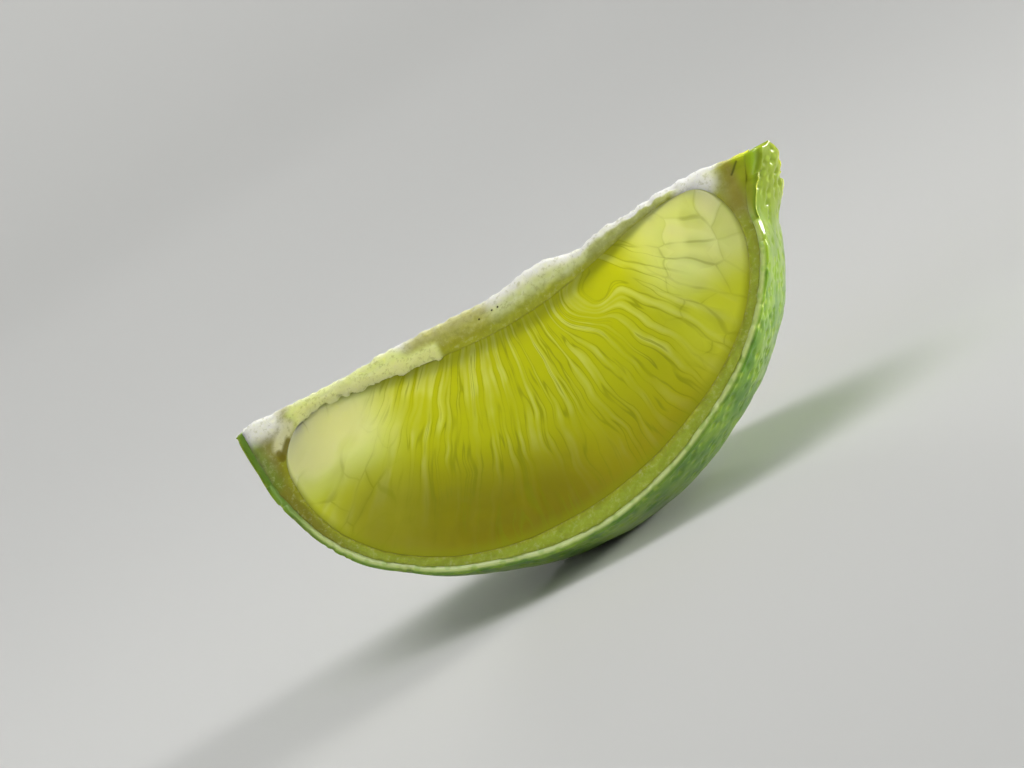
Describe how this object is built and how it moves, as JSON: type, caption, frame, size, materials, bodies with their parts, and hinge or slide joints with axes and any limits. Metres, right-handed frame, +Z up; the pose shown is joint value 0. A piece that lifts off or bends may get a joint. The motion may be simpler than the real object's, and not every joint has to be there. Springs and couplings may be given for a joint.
{
  "type": "lime wedge",
  "caption": "Wedge cut lengthwise from a lime: glossy green rind, thin white pith, torn core edge and translucent yellow-green pulp with raised juice sacs, standing on its rind.",
  "frame": {"origin": "centre of the bounding box's base, on the surface that the wedge stands on", "axes": "+X along the fruit from the stem end to the blossom end (longest extent), the cuts look towards -Y and +Y, +Z up from the rind to the core edge"},
  "size_m": [0.0605, 0.0266, 0.0264],
  "materials": {
    "rind": "waxy green citrus skin with fine pores, semi-gloss",
    "pith": "matt spongy white pith and torn core membrane",
    "pulp": "wet translucent juice sacs, glossy"
  },
  "bodies": {
    "root": {"rind": "rind", "pith": "pith", "pulp": "pulp"}
  },
  "joints": []
}
